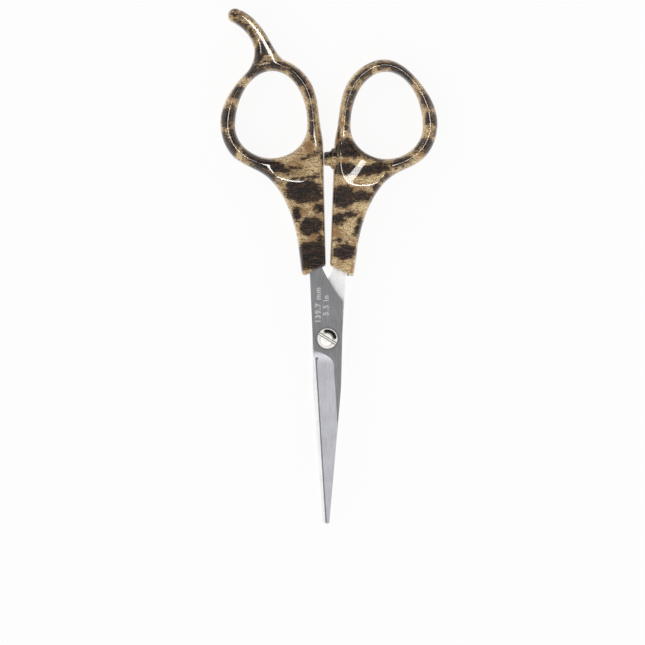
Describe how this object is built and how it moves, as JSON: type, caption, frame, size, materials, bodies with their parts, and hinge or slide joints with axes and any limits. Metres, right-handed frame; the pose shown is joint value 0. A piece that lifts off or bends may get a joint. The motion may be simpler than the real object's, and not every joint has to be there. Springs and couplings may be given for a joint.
{
  "type": "hair cutting shears",
  "caption": "Hair cutting shears with plastic finger loops, a finger rest, a slotted pivot screw and bevelled steel blades.",
  "frame": {"origin": "on the pivot axis, in the plane of the thumb blade's rear flat face", "axes": "+Z along the pivot axis towards the screw's head, +Y towards the finger loops, blade tips at -Y, finger side towards -X"},
  "size_m": [0.0653, 0.1547, 0.007],
  "materials": {
    "finger_blade": "brushed lengthwise, ground bevel",
    "finger_handle": "glossy animal-spot print in dark brown and tan",
    "thumb_blade": "cross-ground inner face",
    "thumb_handle": "glossy animal-spot print in dark brown and tan",
    "bumper": "glossy dark brown",
    "pivot_screw": "nickel plated, polished",
    "spring_washer": "spring steel"
  },
  "bodies": {
    "finger_side": {"finger_blade": "finger_blade", "finger_handle": "finger_handle"},
    "thumb_side": {"thumb_blade": "thumb_blade", "thumb_handle": "thumb_handle", "bumper": "bumper"},
    "tension_screw": {"pivot_screw": "pivot_screw", "spring_washer": "spring_washer"}
  },
  "joints": [
    {"name": "blade_hinge", "type": "hinge", "parent": "finger_side", "child": "thumb_side", "pos_m": [0, 0, 0], "axis": [0, 0, -1], "range_deg": [0, 90]},
    {"name": "tension_turn", "type": "hinge", "parent": "thumb_side", "child": "tension_screw", "pos_m": [0, 0, 0], "axis": [0, 0, 1], "range_deg": [-90, 90]}
  ]
}
